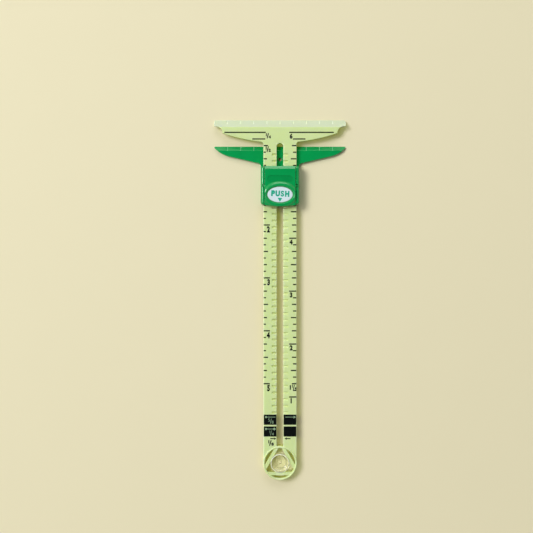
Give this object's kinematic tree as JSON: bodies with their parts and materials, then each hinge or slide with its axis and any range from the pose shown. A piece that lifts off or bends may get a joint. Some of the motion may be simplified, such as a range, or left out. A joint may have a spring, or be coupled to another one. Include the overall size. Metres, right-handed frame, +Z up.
{
  "type": "sewing gauge",
  "caption": "Slotted T-shaped sewing gauge with a winged slide that locks at even steps by a push lever, and a clear anchor button in the end ring.",
  "frame": {"origin": "below the middle of the whole gauge at rest, on the surface that it lies on", "axes": "+Y along the rule towards the T-head, +X across the rule, +Z up out of the printed face"},
  "size_m": [0.0636, 0.1732, 0.008],
  "materials": {
    "lime_plastic": "pale lime moulded plastic, satin gloss",
    "green_plastic": "deep green moulded plastic, glossy",
    "white_plastic": "white plastic inlay, satin",
    "spring_steel": "drawn spring wire",
    "clear_plastic": "clear polished plastic"
  },
  "bodies": {
    "rule": {"rule": "lime_plastic"},
    "slider": {"slider_base": "green_plastic", "return_spring": "spring_steel"},
    "lever": {"push_lever": "green_plastic", "push_plate": "white_plastic"},
    "anchor": {"anchor_button": "clear_plastic"}
  },
  "joints": [
    {"name": "slider_slide", "type": "slide", "parent": "rule", "child": "slider", "axis": [0, -1, 0], "range_m": [-0.00953, 0.1143]},
    {"name": "lever_press", "type": "hinge", "parent": "slider", "child": "lever", "pos_m": [0, 0.05445, 0.0056], "axis": [1, 0, 0], "range_deg": [-4, 4], "stiffness_Nm_per_rad": 0.02, "springref_deg": -8.02, "deforming": ["return_spring"]},
    {"name": "anchor_spin", "type": "hinge", "parent": "rule", "child": "anchor", "pos_m": [0, -0.07845, 0.003], "axis": [0, 0, 1], "continuous": true}
  ]
}
